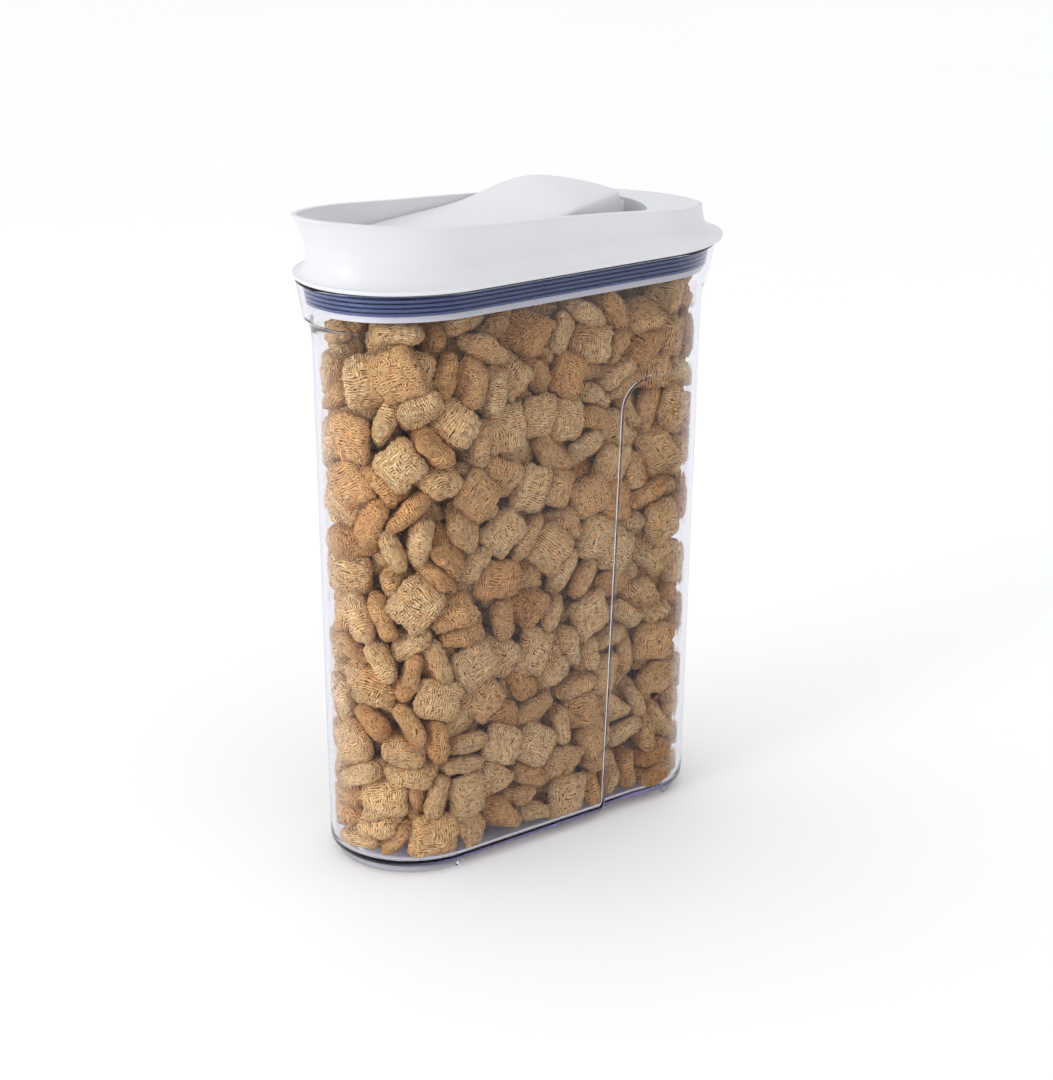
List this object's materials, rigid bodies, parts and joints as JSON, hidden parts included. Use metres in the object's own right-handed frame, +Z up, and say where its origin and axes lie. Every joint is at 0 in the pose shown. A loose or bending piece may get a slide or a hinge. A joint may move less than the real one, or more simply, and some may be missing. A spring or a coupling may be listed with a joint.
{
  "type": "pour-top food canister",
  "caption": "Clear rounded storage canister for dry food with a white press-on lid, a pouring lip and a hinged pour flap.",
  "frame": {"origin": "centre of the overall box in plan, on the plane the feet stand on", "axes": "+Z up, long side along Y with the pouring lip at -Y, +X to the side seen on the right when looking from the lip"},
  "size_m": [0.083, 0.2008, 0.2695],
  "materials": {
    "clear_plastic": "gloss",
    "white_plastic": "satin",
    "grey_silicone": "matte",
    "steel": "satin"
  },
  "bodies": {
    "container": {"container_body": "clear_plastic"},
    "lid": {"lid_shell": "white_plastic", "lid_frame": "white_plastic", "lid_gasket": "grey_silicone"},
    "flap": {"flap_cover": "white_plastic", "flap_liner": "white_plastic", "flap_gasket": "grey_silicone", "hinge_pin": "steel"}
  },
  "joints": [
    {"name": "lid_lift", "type": "slide", "parent": "container", "child": "lid", "axis": [0, 0, 1], "range_m": [0, 0.04]},
    {"name": "flap_hinge", "type": "hinge", "parent": "lid", "child": "flap", "pos_m": [0, 0.04748, 0.2535], "axis": [-1, 0, 0], "range_deg": [0, 80]}
  ]
}
